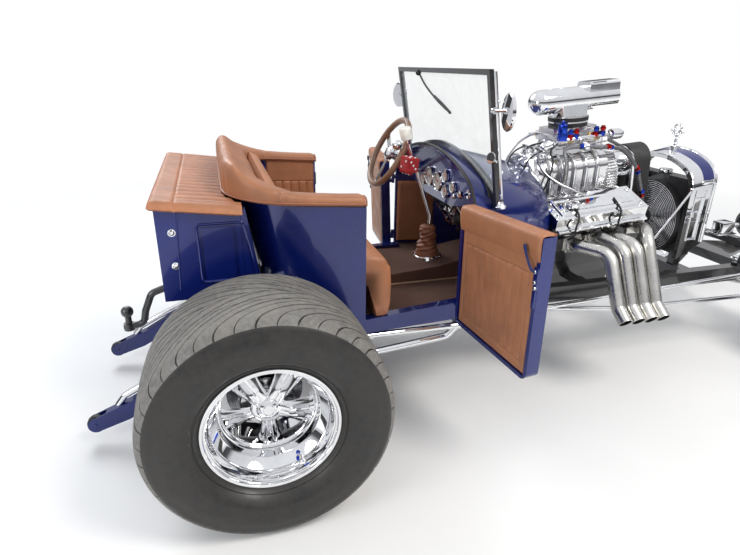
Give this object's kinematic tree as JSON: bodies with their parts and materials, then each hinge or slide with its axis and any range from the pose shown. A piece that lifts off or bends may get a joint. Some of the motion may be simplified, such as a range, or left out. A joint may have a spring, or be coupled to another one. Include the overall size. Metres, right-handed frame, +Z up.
{
  "type": "street rod roadster",
  "caption": "Open bucket-bodied street rod on ladder rails with a blown vee engine in the open, wide rear tyres, hinged doors, steered front wheels and wheelie bars.",
  "frame": {"origin": "bottom centre of the car's outline, on the ground under its middle", "axes": "+X forward, +Y to the car's left, +Z up"},
  "size_m": [3.8379, 1.932, 1.376],
  "materials": {
    "body_paint": "deep blue gloss paint",
    "frame_paint": "gloss black paint",
    "chrome": "bright chrome plate",
    "tyre_rubber": "matte tread, satin side walls",
    "tan_leather": "stitched tan leather",
    "carpet": "brown loop carpet",
    "screen_glass": "clear",
    "header_steel": "satin coated",
    "polished_case": "polished",
    "engine_iron": "black enamel",
    "belt_rubber": "matte",
    "steel_links": "plated",
    "black_plastic": "satin",
    "mirror_face": "polished"
  },
  "bodies": {
    "chassis": {"frame": "frame_paint", "rear_axle": "frame_paint", "radius_rods": "chrome", "coilovers": "chrome", "wheelie_bars": "body_paint", "wheelie_braces": "chrome", "hitch_bar": "frame_paint", "driveshaft": "frame_paint", "gearbox": "polished_case", "engine_block": "engine_iron", "valve_covers": "chrome", "blower": "polished_case", "drive_belt": "belt_rubber", "carburettors": "polished_case", "scoop": "chrome", "radiator": "engine_iron", "radiator_shell": "chrome", "fan": "black_plastic", "headlamps": "engine_iron", "front_axle": "chrome", "front_spring": "frame_paint", "headers": "header_steel", "steering_column": "chrome", "body_tub": "body_paint", "floor_pan": "carpet", "cowl": "body_paint", "dash": "body_paint", "windshield_frame": "frame_paint", "windshield_glass": "screen_glass", "mirrors": "mirror_face", "shifter": "chrome", "pedals": "chrome", "luggage_box": "body_paint", "box_pad": "tan_leather", "seat_roll": "tan_leather", "seat_backrest": "tan_leather", "seat_cushion": "tan_leather"},
    "left_door": {"door_left": "body_paint", "door_pad_left": "tan_leather"},
    "left_rear_wheel": {"rear_wheel_left": "chrome", "rear_tyre_left": "tyre_rubber"},
    "left_front_wheel": {"front_wheel_left": "chrome", "front_tyre_left": "tyre_rubber"},
    "left_wheelie_wheel": {"wheelie_wheel_left": "black_plastic"},
    "left_knuckle": {"knuckle_left": "chrome"},
    "right_door": {"door_right": "body_paint", "door_pad_right": "tan_leather"},
    "right_rear_wheel": {"rear_wheel_right": "chrome", "rear_tyre_right": "tyre_rubber"},
    "right_front_wheel": {"front_wheel_right": "chrome", "front_tyre_right": "tyre_rubber"},
    "right_wheelie_wheel": {"wheelie_wheel_right": "black_plastic"},
    "right_knuckle": {"knuckle_right": "chrome"},
    "pitman_arm": {"pitman_arm": "steel_links"},
    "drag_link": {"drag_link": "steel_links"},
    "tie_rod": {"tie_rod": "steel_links"},
    "steering_wheel": {"steering_wheel": "tan_leather"}
  },
  "joints": [
    {"name": "steer_left", "type": "hinge", "parent": "chassis", "child": "left_knuckle", "pos_m": [1.584, 0.6, 0.335], "axis": [0, 0, 1], "range_deg": [-25, 25]},
    {"name": "steer_right", "type": "hinge", "parent": "chassis", "child": "right_knuckle", "pos_m": [1.584, -0.6, 0.335], "axis": [0, 0, 1], "range_deg": [-25, 25]},
    {"name": "front_wheel_turn_left", "type": "hinge", "parent": "left_knuckle", "child": "left_front_wheel", "pos_m": [1.584, 0.65, 0.335], "axis": [0, 1, 0], "continuous": true},
    {"name": "rear_wheel_turn_left", "type": "hinge", "parent": "chassis", "child": "left_rear_wheel", "pos_m": [-1.266, 0.77, 0.384], "axis": [0, 1, 0], "continuous": true},
    {"name": "wheelie_wheel_turn_left", "type": "hinge", "parent": "chassis", "child": "left_wheelie_wheel", "pos_m": [-1.885, 0.301, 0.082], "axis": [0, 1, 0], "continuous": true},
    {"name": "door_left_swing", "type": "hinge", "parent": "chassis", "child": "left_door", "pos_m": [-0.43, 0.476, 0.43], "axis": [0, 0.035, 0.9994], "range_deg": [0, 95]},
    {"name": "front_wheel_turn_right", "type": "hinge", "parent": "right_knuckle", "child": "right_front_wheel", "pos_m": [1.584, -0.65, 0.335], "axis": [0, 1, 0], "continuous": true},
    {"name": "rear_wheel_turn_right", "type": "hinge", "parent": "chassis", "child": "right_rear_wheel", "pos_m": [-1.266, -0.77, 0.384], "axis": [0, 1, 0], "continuous": true},
    {"name": "wheelie_wheel_turn_right", "type": "hinge", "parent": "chassis", "child": "right_wheelie_wheel", "pos_m": [-1.885, -0.301, 0.082], "axis": [0, 1, 0], "continuous": true},
    {"name": "door_right_swing", "type": "hinge", "parent": "chassis", "child": "right_door", "pos_m": [-0.43, -0.476, 0.43], "axis": [0, -0.035, 0.9994], "range_deg": [-95, 0]},
    {"name": "tie_rod_swing", "type": "hinge", "parent": "left_knuckle", "child": "tie_rod", "pos_m": [1.439, 0.6, 0.366], "axis": [0, 0, 1], "range_deg": [-25, 25]},
    {"name": "pitman_turn", "type": "hinge", "parent": "chassis", "child": "pitman_arm", "pos_m": [1.074, 0.2, 0.34], "axis": [0, 0, 1], "range_deg": [-25, 25]},
    {"name": "drag_link_swing", "type": "hinge", "parent": "pitman_arm", "child": "drag_link", "pos_m": [0.964, 0.255, 0.34], "axis": [0, 0, 1], "range_deg": [-25, 25]},
    {"name": "steering_wheel_turn", "type": "hinge", "parent": "chassis", "child": "steering_wheel", "pos_m": [-0.543, 0.24, 0.994], "axis": [-0.8854, 0, 0.4648], "range_deg": [-300, 300]}
  ],
  "couplings": [
    {"joint": "steer_right", "follows": "steer_left", "ratio": 1},
    {"joint": "tie_rod_swing", "follows": "steer_left", "ratio": -1},
    {"joint": "pitman_turn", "follows": "steer_left", "ratio": 1},
    {"joint": "drag_link_swing", "follows": "steer_left", "ratio": -1},
    {"joint": "steering_wheel_turn", "follows": "steer_left", "ratio": 12}
  ]
}
